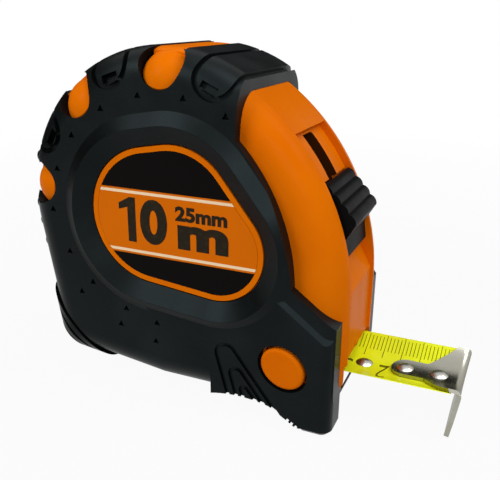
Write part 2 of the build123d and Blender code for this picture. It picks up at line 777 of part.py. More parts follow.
def build_lock():
    """Thumb lock with its ridges, stem and neck, the slider behind the wall and the tip over the blade."""
    track = front_radius - track_depth + lock_gap
    pocket = front_radius - pocket_depth + lock_gap
    slider_outer = front_radius - front_wall - lock_gap
    slider_inner = slider_outer - slider_thick
    crest = front_radius + pad_rise
    top = front_radius - ramp_depth
    step = (pad_top_angle - pad_low_angle) / pad_ridges
    ridges = []
    for ridge in range(pad_ridges):
        start = lock_point(top + (crest - top) * ridge / pad_ridges, pad_top_angle - ridge * step)
        end = lock_point(top + (crest - top) * (ridge + 1) / pad_ridges, pad_top_angle - (ridge + 1) * step)
        out = Vector(start.Y - end.Y, end.X - start.X).normalized() * ridge_depth
        ridges.append(ThreePointArc(start, (start + end) * 0.5 + out, end))
    stem = lock_point(top - lock_gap, stem_shoulder_angle)
    stem_foot = lock_point(track, stem_low_angle)
    outline = ridges + [
        Line(ridges[-1] @ 1, stem),
        Line(stem, stem_foot),
        Line(stem_foot, lock_point(pocket, stem_low_angle)),
        lock_arc(pocket, stem_low_angle, stem_top_angle),
        Line(lock_point(pocket, stem_top_angle), lock_point(track, stem_top_angle)),
        lock_arc(track, stem_top_angle, pad_top_angle),
        Line(lock_point(track, pad_top_angle), ridges[0] @ 0),
    ]
    pad = slab(make_face(outline), -lock_half, lock_half)
    pad += slab(sector_face(slider_outer, track + lock_gap, *neck_angles), -neck_half, neck_half)
    edge_top = blade_level + trough - sqrt((trough - blade_thick)**2 - tip_half**2)
    tip_low = lock_drop - degrees(asin((front_centre.Y - edge_top - lock_gap) / slider_outer))
    tip_high = tip_low + tip_span
    tip_face = sector_face(slider_inner - tip_proud, slider_outer, tip_low, tip_high)
    slider_face = sector_face(slider_inner, slider_outer, tip_high, slider_top_angle)
    return pad, slab(slider_face, -slider_half, slider_half), slab(tip_face, -tip_half, tip_half)


def build_button():
    """Stop button with its shank, the brake pad on the shank's end and the return spring under the cap."""
    cap = slab(button_face_outline(0), -button_face, -button_under)
    cap = fillet(cap.faces().sort_by(Axis.Y)[0].edges(), button_edge)
    button = cap + across(shank_radius, button_x, button_z, -button_under, -shank_end)
    pad = across(pad_radius, button_x, button_z, -shank_end, pad_thick - shank_end)
    height = button_under - spring_seat - spring_wire - 2 * fit_gap
    helix = Helix(pitch=height / spring_loops, height=height, radius=spring_coil)
    wire_plane = Plane(origin=helix @ 0, z_dir=helix % 0)
    spring = sweep(wire_plane * RegularPolygon(spring_wire / 2, 6), path=helix)
    seat = Pos(button_x, -spring_seat - fit_gap - spring_wire / 2, button_z)
    return button, pad, seat * Rot(90, 0, 0) * spring


def build_bumper():
    """Rubber stop on the notch's rear wall, hollowed under the blade and relieved for the rivets' feet."""
    face = Pos(0, bumper_foot) * Rectangle(2 * bumper_half, mouth_top, align=(Align.CENTER, Align.MIN))
    face -= Pos(0, blade_level + trough) * Circle(trough + lock_gap)
    face -= Pos(0, axis_height) * Rectangle(4 * bumper_half, 2 * (axis_height - bumper_top))
    face -= Pos(0, axis_height) * Rectangle(2 * bumper_relief_half, 2 * (axis_height - bumper_relief))
    return along_x(face, notch_rear, notch_rear + bumper_thick)


def drive_cut(x, z, face):
    """Cross recess in the head of a screw along Y, whose outer face lies at a given Y."""
    bar = Rectangle(drive_length, drive_width)
    cross = bar + Rot(0, 0, 90) * bar
    return slab(Pos(x, z) * cross, face - drive_depth, face)


def build_screws():
    """Two case screws from the clip side, and the centre screw through the clip into the axle."""
    seat = case_half - screw_head_thick
    face = case_half - fit_gap
    screws = []
    for x, z in screw_places:
        screw = across(screw_radius, x, z, -screw_reach, seat) + across(screw_head, x, z, seat, face)
        screws.append(screw - drive_cut(x, z, face))
    clip_seat = bed_half + fit_gap + clip_thick
    clip_face = clip_seat + clip_screw_thick
    centre = across(screw_radius, 0, axis_height, chamber_half - clip_screw_depth, clip_seat)
    centre += across(clip_screw_head, 0, axis_height, clip_seat, clip_face)
    centre = fillet(centre.faces().sort_by(Axis.Y)[-1].edges(), clip_screw_edge)
    return Compound(screws), centre - drive_cut(0, axis_height, clip_face)


def build_clip():
    """Belt clip: a bent strip with its flat leg on the bed, a fold over the top and a flared lip below."""
    leg = bed_half + fit_gap
    fold = leg + clip_thick + clip_gap / 2
    outer = leg + clip_thick + clip_gap
    bend = Pos(fold, clip_fold) * (Circle(clip_gap / 2 + clip_thick) - Circle(clip_gap / 2))
    bend &= Pos(fold, clip_fold) * Rectangle(4 * clip_gap, 4 * clip_gap, align=(Align.CENTER, Align.MIN))
    strip = bend + corner_face(leg, clip_low, leg + clip_thick, clip_fold)
    strip += corner_face(outer, clip_tip, outer + clip_thick, clip_fold)
    lip = Rectangle(clip_thick, clip_lip, align=(Align.MIN, Align.MAX))
    strip += Pos(outer, clip_tip) * Rot(0, 0, clip_lip_angle) * lip
    strip += Pos(outer, clip_tip) * Rectangle(clip_thick * cos(radians(clip_lip_angle)), clip_thick / 2,
                                              align=(Align.MIN, Align.CENTER))
    clip = along_x(strip, -clip_half, clip_half)
    corners = clip.edges().filter_by(Axis.Y).filter_by(lambda e: e.center().Z < clip_low + clip_thick)
    corners = corners.filter_by(lambda e: e.center().Z > clip_tip)
    clip = fillet(corners, clip_corner)
    return clip - across(screw_radius + screw_gap, 0, axis_height, leg - clip_thick, leg + 2 * clip_thick)


def export_all(pieces):
    """Write each piece as a STEP file, with the origin below the middle of the whole tool."""
    box = Compound(list(pieces.values())).bounding_box()
    shift = Pos(-(box.min.X + box.max.X) / 2, -(box.min.Y + box.max.Y) / 2, -box.min.Z)
    print("reel axis stands at", tuple(round(v, 4) for v in shift.position))
    os.makedirs("parts", exist_ok=True)
    for name, piece in pieces.items():
        export_step(shift * piece, f"parts/{name}.step")


def main():
    """Build every piece and write it."""
    pieces = {}
    pieces["case_left"], pieces["case_right"] = build_case()
    pieces["jacket_left"], pieces["jacket_right"] = build_jacket()
    pieces["label_plate"] = slab(label_face(-label_border - fit_gap), -bed_half, label_thick - bed_half)
    pieces["blade_run"], pieces["blade_backing"] = build_blade()
    tail_seat = blade_level + blade_thick + rivet_seat_rise
    hook_seat = tail_seat + hook_gap + hook_thick
    hook_rivets = [build_rivet(blade_end - offset, hook_seat) for offset in rivet_offsets]
    pieces["hook_rivets"] = Compound(hook_rivets)
    pieces["tail_rivet"] = build_rivet(blade_end - tail_rivet_offset, tail_seat)
    pieces["end_hook"] = build_hook()
    drum, cover, axle, coil, spring = build_reel()
    pieces.update(reel_drum=drum, drum_cover=cover, axle=axle, blade_coil=coil, power_spring=spring)
    pieces["thumb_lock"], pieces["lock_slider"], pieces["lock_tip"] = build_lock()
    pieces["stop_button"], pieces["brake_pad"], pieces["button_spring"] = build_button()
    pieces["mouth_bumper"] = build_bumper()
    pieces["case_screws"], pieces["clip_screw"] = build_screws()
    pieces["belt_clip"] = build_clip()
    export_all(pieces)


main()
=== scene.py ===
"""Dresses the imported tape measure: finishes, printed label, graduated blade, studio and camera."""

import logging
from dataclasses import dataclass, field, replace
from enum import Enum
from math import cos, pi, radians, sin, sqrt
from typing import Iterable, Optional

import bmesh
import bpy
from mathutils import Matrix, Vector


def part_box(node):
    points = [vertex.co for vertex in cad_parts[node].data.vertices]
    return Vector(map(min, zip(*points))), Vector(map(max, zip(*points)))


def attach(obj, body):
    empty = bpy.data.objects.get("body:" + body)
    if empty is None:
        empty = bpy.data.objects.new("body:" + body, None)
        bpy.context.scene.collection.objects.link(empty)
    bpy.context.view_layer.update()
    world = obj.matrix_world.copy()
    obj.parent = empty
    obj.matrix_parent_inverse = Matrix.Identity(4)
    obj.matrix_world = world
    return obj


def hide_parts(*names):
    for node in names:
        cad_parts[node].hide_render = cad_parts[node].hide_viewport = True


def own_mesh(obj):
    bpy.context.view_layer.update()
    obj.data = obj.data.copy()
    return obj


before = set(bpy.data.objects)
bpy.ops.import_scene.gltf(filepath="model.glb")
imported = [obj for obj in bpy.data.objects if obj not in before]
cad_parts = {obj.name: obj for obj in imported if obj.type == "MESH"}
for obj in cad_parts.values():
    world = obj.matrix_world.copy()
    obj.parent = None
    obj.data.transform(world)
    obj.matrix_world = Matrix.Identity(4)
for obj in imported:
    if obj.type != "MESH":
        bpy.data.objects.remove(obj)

log = logging.getLogger("tape_measure")

Colour = tuple[float, float, float]
Tint = tuple[float, float, float, float]
Span = tuple[float, float]
Size = tuple[float, float]
Place = tuple[float, float, float]
Scale = tuple[float, float, float]
Shape = bmesh.types.BMesh
Socket = bpy.types.NodeSocket

MM = 0.001
MERGE = 1e-7           # points of a piece that are nearer than this, in metres, are one
LETTER_MERGE = 1e-5    # the same for letters, which are one unit tall
LETTER_DEPTH = 0.02    # a letter's thickness before it is fitted
LETTER_STEPS = 6       # how finely a letter's bends are divided

FULL_STEP = 255                 # the brightest step of a colour as seen
KNEE, SLOPE = 0.04045, 12.92    # where the straight foot of its curve ends, and how steep it is
LIFT, POWER = 0.055, 2.4        # the shape of the curve above the knee


class Body(Enum):
    """The moving bodies that the new pieces ride on."""

    CASE = "case"
    BLADE = "blade"


class Slot(Enum):
    """The finish slots of the record that the new pieces belong to."""

    LABEL = "label_print"
    BLADE = "blade_lacquer"
    PLAIN = "plain_steel"


class Axis(Enum):
    """The three coordinates of a surface."""

    X = "X"
    Y = "Y"
    Z = "Z"


class Sum(Enum):
    """What a math node works out."""

    ADD = "ADD"
    SUBTRACT = "SUBTRACT"
    MULTIPLY = "MULTIPLY"
    ABSOLUTE = "ABSOLUTE"
    LARGER = "MAXIMUM"
    ABOVE = "GREATER_THAN"
    BELOW = "LESS_THAN"


class Ray(Enum):
    """The kinds of rays that show a surface: straight, in gloss and through glass."""

    STRAIGHT = "Is Camera Ray"
    GLOSS = "Is Glossy Ray"
    GLASS = "Is Transmission Ray"


@dataclass(frozen=True)
class Cloud:
    """A cloud pattern: its cells per metre and how many finer layers it has."""

    scale: float
    layers: float


def printed(red: int, green: int, blue: int) -> Colour:
    """Turns a colour as seen into the linear one that a shader takes.

    Args:
        red: its red, in steps of 255.
        green: its green.
        blue: its blue.

    Returns:
        The linear colour.
    """
    shares = [step / FULL_STEP for step in (red, green, blue)]
    return tuple(v / SLOPE if v <= KNEE else ((v + LIFT) / (1 + LIFT)) ** POWER for v in shares)


def darkened(colour: Colour, share: float) -> Colour:
    """Gives a colour at a share of its light."""
    return tuple(share * value for value in colour)


def sight(tree: bpy.types.NodeTree) -> Socket:
    """Tells rays that show a surface, straight or in gloss and glass, from rays that light by it.

    Args:
        tree: the node tree that takes the nodes.

    Returns:
        A value of 1 for rays that show the surface and 0 for the others.
    """
    path = tree.nodes.new("ShaderNodeLightPath")
    seen = path.outputs[Ray.STRAIGHT.value]
    for ray in (Ray.GLOSS, Ray.GLASS):
        either = tree.nodes.new("ShaderNodeMath")
        either.operation = Sum.LARGER.value
        tree.links.new(seen, either.inputs[0])
        tree.links.new(path.outputs[ray.value], either.inputs[1])
        seen = either.outputs[0]
    return seen


class NodeBench:
    """The node tree of one material, with short ways to add and join nodes."""

    def __init__(self, name: str) -> None:
        """Starts a material with one principled shader.

        Args:
            name: the material's name.
        """
        self.material = bpy.data.materials.new(name)
        self.material.use_nodes = True
        self.tree = self.material.node_tree
        self.shader = self.tree.nodes["Principled BSDF"]
        self.place = self.add("ShaderNodeTexCoord").outputs["Object"]

    def add(self, kind: str, **settings: object) -> bpy.types.Node:
        """Adds a node.

        Args:
            kind: the node's type.
            settings: its properties by name.

        Returns:
            The new node.
        """
        node = self.tree.nodes.new(kind)
        for name, value in settings.items():
            setattr(node, name, value)
        return node

    def feed(self, target: Socket, source: object) -> None:
        """Links a socket to another one, or sets it to a plain value.

        Args:
            target: the socket that is fed.
            source: the other socket, or the value.
        """
        if isinstance(source, Socket):
            self.tree.links.new(source, target)
        else:
            target.default_value = source

    def set(self, **values: object) -> None:
        """Sets or links inputs of the shader, with underscores for the spaces in their names."""
        for name, value in values.items():
            self.feed(self.shader.inputs[name.replace("_", " ")], value)

    def math(self, operation: Sum, first: object, second: object = 0.0) -> Socket:
        """Works out one value from two.

        Args:
            operation: what is worked out.
            first: the first socket or number.
            second: the second socket or number.

        Returns:
            The result's socket.
        """
        node = self.add("ShaderNodeMath", operation=operation.value)
        self.feed(node.inputs[0], first)
        self.feed(node.inputs[1], second)
        return node.outputs[0]

    def between(self, value: Socket, low: float, high: float) -> Socket:
        """Gives 1 where a value is between two limits and 0 elsewhere."""
        over = self.math(Sum.ABOVE, value, low)
        return self.math(Sum.MULTIPLY, over, self.math(Sum.BELOW, value, high))

    def axis(self, axis: Axis) -> Socket:
        """Gives one coordinate of the surface, in metres.

        Args:
            axis: which coordinate it is.

        Returns:
            The coordinate's socket.
        """
        split = self.add("ShaderNodeSeparateXYZ")
        self.feed(split.inputs[0], self.place)
        return split.outputs[axis.value]

    def stretched(self, scale: Scale) -> Socket:
        """Gives the surface's place, drawn out along the axes.

        Args:
            scale: the share of its length that each axis keeps.

        Returns:
            The place's socket.
        """
        mapping = self.add("ShaderNodeMapping")
        self.feed(mapping.inputs["Vector"], self.place)
        mapping.inputs["Scale"].default_value = scale
        return mapping.outputs[0]

    def noise(self, cloud: Cloud, place: Optional[Socket] = None) -> Socket:
        """Adds a cloud pattern.

        Args:
            cloud: the pattern.
            place: where it is read, if not at the surface's own place.

        Returns:
            The pattern's value, about 0.5 on average.
        """
        node = self.add("ShaderNodeTexNoise")
        self.feed(node.inputs["Vector"], place or self.place)
        node.inputs["Scale"].default_value = cloud.scale
        node.inputs["Detail"].default_value = cloud.layers
        return node.outputs["Fac"]

    def ranged(self, source: Socket, low: float, high: float,
               start: float = 0.3, end: float = 0.7) -> Socket:
        """Maps a pattern to a range of values.

        Args:
            source: the pattern.
            low: the value at start.
            high: the value at end.
            start: the pattern's lower end.
            end: the pattern's upper end.

        Returns:
            The value's socket.
        """
        node = self.add("ShaderNodeMapRange")
        for name, value in (("Value", source), ("From Min", start), ("From Max", end),
                            ("To Min", low), ("To Max", high)):
            self.feed(node.inputs[name], value)
        return node.outputs[0]

    def mixed(self, share: object, first: object, second: object) -> Socket:
        """Mixes two colours.

        Args:
            share: how much of the second there is.
            first: the first colour or socket.
            second: the second colour or socket.

        Returns:
            The mixed colour's socket.
        """
        node = self.add("ShaderNodeMix", data_type="RGBA")
        self.feed(node.inputs["Factor"], share)
        for name, colour in (("A", first), ("B", second)):
            socket = [s for s in node.inputs if s.name == name and s.type == "RGBA"][0]
            self.feed(socket, colour if isinstance(colour, Socket) else (*colour, 1.0))
        return [s for s in node.outputs if s.type == "RGBA"][0]

    def bumped(self, height: Socket, strength: float, depth: float) -> Socket:
        """Turns a height pattern into a surface relief.

        Args:
            height: the pattern.
            strength: how much of it shows.
            depth: its height in metres.

        Returns:
            The normal's socket.
        """
        node = self.add("ShaderNodeBump")
        node.inputs["Strength"].default_value = strength
        node.inputs["Distance"].default_value = depth
        self.feed(node.inputs["Height"], height)
        return node.outputs[0]


class Finish:
    """A surface that makes its own material."""

    def make(self) -> bpy.types.Material:
        """Builds the material; every finish has its own way."""
        raise NotImplementedError


@dataclass(frozen=True)
class MouldedPlastic(Finish):
    """Moulded plastic: flow marks, a fine skin and, on the case, a parting line and painted shade in
    the thumb lock's slot.
    """

    name: str
    colour: Colour
    deep: Colour
    smooth: float = 0.26
    dull: float = 0.38
    gloss: float = 0.012
    skin_show: float = 0.03
    skin_depth: float = 0.05 * MM
    parting: Optional[float] = None
    slot: Optional[tuple[Vector, Vector]] = None
    flow: Cloud = Cloud(45, 4)
    flow_share: float = 0.6
    skin: Cloud = Cloud(1400, 2)
    patches: Cloud = Cloud(160, 5)
    line_half: float = 0.07 * MM
    line_share: float = 0.4
    # painted shade: the dark colour that the slot's walls are mixed towards, standing in for deep
    # shadow and the black slider behind them
    grime: Colour = printed(20, 14, 10)
    grime_share: float = 0.94

    def make(self) -> bpy.types.Material:
        """Builds the material.

        Returns:
            The material.
        """
        bench = NodeBench(self.name)
        flow = bench.noise(self.flow)
        height = bench.noise(self.skin)
        shade = bench.mixed(bench.ranged(flow, 0, self.flow_share), self.colour, self.deep)
        if self.parting is not None:
            away = bench.math(Sum.SUBTRACT, bench.axis(Axis.Y), self.parting)
            line = bench.math(Sum.BELOW, bench.math(Sum.ABSOLUTE, away), self.line_half)
            shade = bench.mixed(bench.math(Sum.MULTIPLY, line, self.line_share), shade, self.deep)
            height = bench.math(Sum.ADD, height, line)
        # painted shade: the case is darkened inside the thumb lock's slot, for its deep shadow and
        # the black slider behind its thin walls
        if self.slot is not None:
            inside = self.grime_share
            for axis, low, high in zip(Axis, *self.slot):
                within = bench.between(bench.axis(axis), low, high)
                inside = bench.math(Sum.MULTIPLY, within, inside)
            shade = bench.mixed(inside, shade, self.grime)
        bench.set(Base_Color=shade, Specular_IOR_Level=self.gloss,
                  Roughness=bench.ranged(bench.noise(self.patches), self.smooth, self.dull),
                  Normal=bench.bumped(height, self.skin_show, self.skin_depth))
        return bench.material


@dataclass(frozen=True)
class MouldedRubber(Finish):
    """Satin rubber with a fine grain, cloudy rubbing marks and pale dust in places."""

    name: str
    colour: Colour
    dust: Colour
    smooth: float = 0.31
    dull: float = 0.42
    gloss: float = 0.10
    tint: Tint = (0.74, 0.97, 1.0, 1.0)
    rubbing: Cloud = Cloud(70, 5)
    dust_share: float = 0.35
    dust_span: Span = (0.45, 0.75)
    specks: Cloud = Cloud(1500, 1)
    speck_share: float = 0.5
    speck_span: Span = (0.66, 0.76)
    grain: Cloud = Cloud(3200, 2)
    grain_show: float = 0.10
    grain_depth: float = 0.06 * MM

    def make(self) -> bpy.types.Material:
        """Builds the material.

        Returns:
            The material.
        """
        bench = NodeBench(self.name)
        rubbing = bench.noise(self.rubbing)
        grain = bench.noise(self.grain)
        specks = bench.ranged(bench.noise(self.specks), 0, self.speck_share, *self.speck_span)
        film = bench.ranged(rubbing, 0, self.dust_share, *self.dust_span)
        shade = bench.mixed(bench.math(Sum.ADD, film, specks), self.colour, self.dust)
        bench.set(Base_Color=shade, Roughness=bench.ranged(rubbing, self.smooth, self.dull),
                  Specular_IOR_Level=self.gloss, Specular_Tint=self.tint,
                  Normal=bench.bumped(grain, self.grain_show, self.grain_depth))
        return bench.material


@dataclass(frozen=True)
class PlatedSteel(Finish):
    """Plated steel with drawn lines along one axis and dull smudges."""

    name: str
    colour: Colour
    smooth: float
    dull: float
    lines: float
    drawn: Scale = (0.04, 1.0, 1.0)
    edge: Tint = (0.5, 0.5, 0.46, 1.0)
    smudges: Cloud = Cloud(220, 5)
    smudge_share: float = 0.4
    smudge_shade: float = 0.78
    strokes: Cloud = Cloud(5200, 2)
    stroke_depth: float = 0.03 * MM

    def make(self) -> bpy.types.Material:
        """Builds the material.

        Returns:
            The material.
        """
        bench = NodeBench(self.name)
        smudge = bench.noise(self.smudges)
        strokes = bench.noise(self.strokes, bench.stretched(self.drawn))
        shade = bench.mixed(bench.ranged(smudge, 0, self.smudge_share), self.colour,
                            darkened(self.colour, self.smudge_shade))
        bench.set(Base_Color=shade, Metallic=1.0, Specular_Tint=self.edge,
                  Roughness=bench.ranged(smudge, self.smooth, self.dull),
                  Normal=bench.bumped(strokes, self.lines, self.stroke_depth))
        return bench.material


BLUE_STEEL = PlatedSteel(
    "spring_blue_steel", (0.30, 0.31, 0.34), smooth=0.28, dull=0.42, lines=0.08)


@dataclass(frozen=True)
class BladeLacquer(Finish):
    """Yellow lacquer on the steel blade, under a clear glossy coat."""

    name: str = "blade_yellow_lacquer"
    colour: Colour = printed(238, 246, 26)
    deep: Colour = printed(222, 226, 18)
    smooth: float = 0.30
    dull: float = 0.42
    gloss: float = 0.1
    coat: float = 0.35
    coat_rough: float = 0.10
    coat_ior: float = 1.3
    streaks: Cloud = Cloud(120, 5)
    streak_share: float = 0.5
    drawn: Scale = (0.4, 1.0, 1.0)
    skin: Cloud = Cloud(1800, 2)
    skin_show: float = 0.06
    skin_depth: float = 0.03 * MM

    def make(self) -> bpy.types.Material:
        """Builds the material.

        Returns:
            The material.
        """
        bench = NodeBench(self.name)
        streaks = bench.noise(self.streaks, bench.stretched(self.drawn))
        skin = bench.noise(self.skin)
        shade = bench.mixed(bench.ranged(streaks, 0, self.streak_share), self.colour, self.deep)
        bench.set(Base_Color=shade, Roughness=bench.ranged(streaks, self.smooth, self.dull),
                  Specular_IOR_Level=self.gloss, Coat_Weight=self.coat,
                  Coat_Roughness=self.coat_rough, Coat_IOR=self.coat_ior,
                  Normal=bench.bumped(skin, self.skin_show, self.skin_depth))
        return bench.material


@dataclass(frozen=True)
class LabelPrint(Finish):
    """The printed plate: a black field, an orange band between pale lines and a black field."""

    name: str = "label_printed_film"
    orange: Colour = printed(222, 108, 3)
    black: Colour = printed(10, 7, 6)
    pale: Colour = printed(250, 218, 178)
    upper_line: float = 57.5 * MM
    lower_line: float = 41.6 * MM
    line_half: float = 0.38 * MM
    field_gap: float = 0.5 * MM
    smooth: float = 0.26
    dull: float = 0.38
    gloss: float = 0.04
    fading: Cloud = Cloud(90, 5)
    fading_share: float = 0.3
    fading_shade: float = 0.8
    patches: Cloud = Cloud(300, 5)
    skin: Cloud = Cloud(1100, 2)
    skin_show: float = 0.03
    skin_depth: float = 0.02 * MM

    def make(self) -> bpy.types.Material:
        """Builds the material.

        Returns:
            The material.
        """
        bench = NodeBench(self.name)
        height = bench.axis(Axis.Z)
        margin = self.line_half + self.field_gap
        fading = bench.ranged(bench.noise(self.fading), 0, self.fading_share)
        band = bench.mixed(fading, self.orange, darkened(self.orange, self.fading_shade))
        upper = bench.math(Sum.ABOVE, height, self.upper_line + margin)
        lower = bench.math(Sum.BELOW, height, self.lower_line - margin)
        shade = bench.mixed(bench.math(Sum.ADD, upper, lower), band, self.black)
        for middle in (self.upper_line, self.lower_line):
            line = bench.between(height, middle - self.line_half, middle + self.line_half)
            shade = bench.mixed(line, shade, self.pale)
        skin = bench.noise(self.skin)
        bench.set(Base_Color=shade, Specular_IOR_Level=self.gloss,
                  Roughness=bench.ranged(bench.noise(self.patches), self.smooth, self.dull),
                  Normal=bench.bumped(skin, self.skin_show, self.skin_depth))
        return bench.material


@dataclass(frozen=True)
class PrintInk(Finish):
    """Dark ink with a slightly broken, matt surface."""

    name: str
    colour: Colour = printed(34, 27, 16)
    worn: Colour = printed(62, 46, 22)
    smooth: float = 0.35
    dull: float = 0.5
    gloss: float = 0.08
    wear: Cloud = Cloud(900, 4)
    wear_share: float = 0.5
    wear_span: Span = (0.5, 0.75)
    wear_show: float = 0.05
    wear_depth: float = 0.02 * MM

    def make(self) -> bpy.types.Material:
        """Builds the material.

        Returns:
            The material.
        """
        bench = NodeBench(self.name)
        wear = bench.noise(self.wear)
        shade = bench.mixed(bench.ranged(wear, 0, self.wear_share, *self.wear_span),
                            self.colour, self.worn)
        bench.set(Base_Color=shade, Roughness=bench.ranged(wear, self.smooth, self.dull),
                  Specular_IOR_Level=self.gloss,
                  Normal=bench.bumped(wear, self.wear_show, self.wear_depth))
        return bench.material


def paint(finish: Finish, *nodes: str) -> None:
    """Gives carried-over solids a finish.

    Args:
        finish: the finish, whose material is made once.
        nodes: the solids' names.
    """
    material = finish.make()
    for node in nodes:
        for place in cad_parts[node].material_slots:
            place.material = material
        log.info("%s: %s", node, material.name)


def middle_of(node: str) -> Vector:
    """Gives the middle of a carried-over solid's box."""
    low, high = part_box(node)
    return (low + high) / 2


def placed(shape: Shape, name: str, finish: bpy.types.Material) -> bpy.types.Object:
    """Makes a shape an object of the scene.

    Args:
        shape: the modelled shape, which is used up.
        name: the object's name.
        finish: its material.

    Returns:
        The object.
    """
    mesh = bpy.data.meshes.new(name)
    shape.to_mesh(mesh)
    shape.free()
    mesh.materials.append(finish)
    piece = bpy.data.objects.new(name, mesh)
    bpy.context.scene.collection.objects.link(piece)
    log.info("%s: %d faces, %s", name, len(mesh.polygons), finish.name)
    return piece


def finished(shape: Shape, name: str, finish: bpy.types.Material, body: Body) -> bpy.types.Object:
    """Closes a shape, makes it a piece and lets it ride on its body.

    Args:
        shape: the modelled shape, which is used up.
        name: the piece's name.
        finish: its material.
        body: the body that carries it.

    Returns:
        The piece.
    """
    bmesh.ops.remove_doubles(shape, verts=shape.verts, dist=MERGE)
    bmesh.ops.recalc_face_normals(shape, faces=shape.faces)
    for face in shape.faces:
        face.smooth = False
    piece = placed(shape, name, finish)
    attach(piece, body.value)
    return piece


def lettered(words: str, weight: float) -> Shape:
    """Sets plain numerals as a thin solid, one unit tall, lying in XY.

    Args:
        words: what is set.
        weight: how much its strokes are fattened.

    Returns:
        The shape, fitted and placed by its caller.
    """
    curve = bpy.data.curves.new("numerals", "FONT")
    curve.body, curve.offset = words, weight
    curve.extrude, curve.resolution_u = LETTER_DEPTH / 2, LETTER_STEPS
    holder = bpy.data.objects.new("numerals", curve)
    bpy.context.scene.collection.objects.link(holder)
    graph = bpy.context.evaluated_depsgraph_get()
    mesh = bpy.data.meshes.new_from_object(holder.evaluated_get(graph))
    shape = bmesh.new()
    shape.from_mesh(mesh)
    bpy.data.objects.remove(holder)
    bpy.data.curves.remove(curve)
    bpy.data.meshes.remove(mesh)
    bmesh.ops.remove_doubles(shape, verts=shape.verts, dist=LETTER_MERGE)
    return shape


def fitted(shape: Shape, size: Size, depth: float) -> Shape:
    """Scales a shape to a box whose lower left back corner is at the origin.

    Args:
        shape: the shape.
        size: the box's width and height.
        depth: the box's depth.

    Returns:
        The same shape.
    """
    low = Vector([min(v.co[i] for v in shape.verts) for i in range(3)])
    high = Vector([max(v.co[i] for v in shape.verts) for i in range(3)])
    full = high - low
    bmesh.ops.translate(shape, verts=shape.verts, vec=-low)
    bmesh.ops.scale(shape, verts=shape.verts,
                    vec=(size[0] / full.x, size[1] / full.y, depth / full.z))
    return shape


def thickened(shape: Shape, depth: float) -> Shape:
    """Raises flat faces in XY to thin solids.

    Args:
        shape: the flat shape.
        depth: how far it is raised.

    Returns:
        The same shape.
    """
    raised = bmesh.ops.extrude_face_region(shape, geom=shape.faces[:])
    tops = [item for item in raised["geom"] if isinstance(item, bmesh.types.BMVert)]
    bmesh.ops.translate(shape, verts=tops, vec=(0.0, 0.0, depth))
    return shape


def joined(shape: Shape, other: Shape) -> Shape:
    """Adds a second shape to a first.

    Args:
        shape: the first shape.
        other: the second one, which is used up.

    Returns:
        The first shape.
    """
    mesh = bpy.data.meshes.new("joined")
    other.to_mesh(mesh)
    other.free()
    shape.from_mesh(mesh)
    bpy.data.meshes.remove(mesh)
    return shape


@dataclass
class Housing:
    """The two-part case, its rubber jacket and the pieces that work in its front."""

    slot_half: float = 3.4 * MM
    slot_rise: float = 2.3 * MM
    orange: MouldedPlastic = MouldedPlastic(
        "case_orange_plastic", printed(230, 115, 3), printed(217, 96, 2))
    button: MouldedPlastic = MouldedPlastic(
        "button_orange_plastic", printed(230, 115, 3), printed(212, 92, 2))
    rubber: MouldedRubber = MouldedRubber(
        "jacket_black_rubber", printed(10, 11, 11), printed(28, 33, 36))
    lock: MouldedPlastic = MouldedPlastic(
        "lock_black_plastic", printed(11, 11, 12), printed(18, 18, 19),
        smooth=0.34, dull=0.46, gloss=0.02, skin_show=0.06)
    soft: MouldedRubber = MouldedRubber(
        "inner_grey_rubber", printed(40, 40, 40), printed(58, 58, 58))

    def slot_box(self, middle: float) -> tuple[Vector, Vector]:
        """Gives the corners of the thumb lock's slot, whose lower end the lock covers; the case is
        painted with shade inside them.

        Args:
            middle: the parting plane's place in Y.

        Returns:
            The lowest and the highest corner.
        """
        low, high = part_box("lock_slider")
        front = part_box("thumb_lock")[1].x
        foot = middle_of("thumb_lock").z
        return (Vector((low.x, middle - self.slot_half, foot)),
                Vector((front, middle + self.slot_half, high.z + self.slot_rise)))

    def dress(self) -> None:
        """Gives the housing's solids their finishes."""
        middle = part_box("case_left")[1].y
        case = replace(self.orange, parting=middle, slot=self.slot_box(middle))
        paint(case, "case_left", "case_right")
        paint(self.button, "stop_button")
        paint(self.rubber, "jacket_left", "jacket_right")
        paint(self.lock, "thumb_lock", "lock_slider")
        paint(self.soft, "lock_tip", "mouth_bumper", "brake_pad")


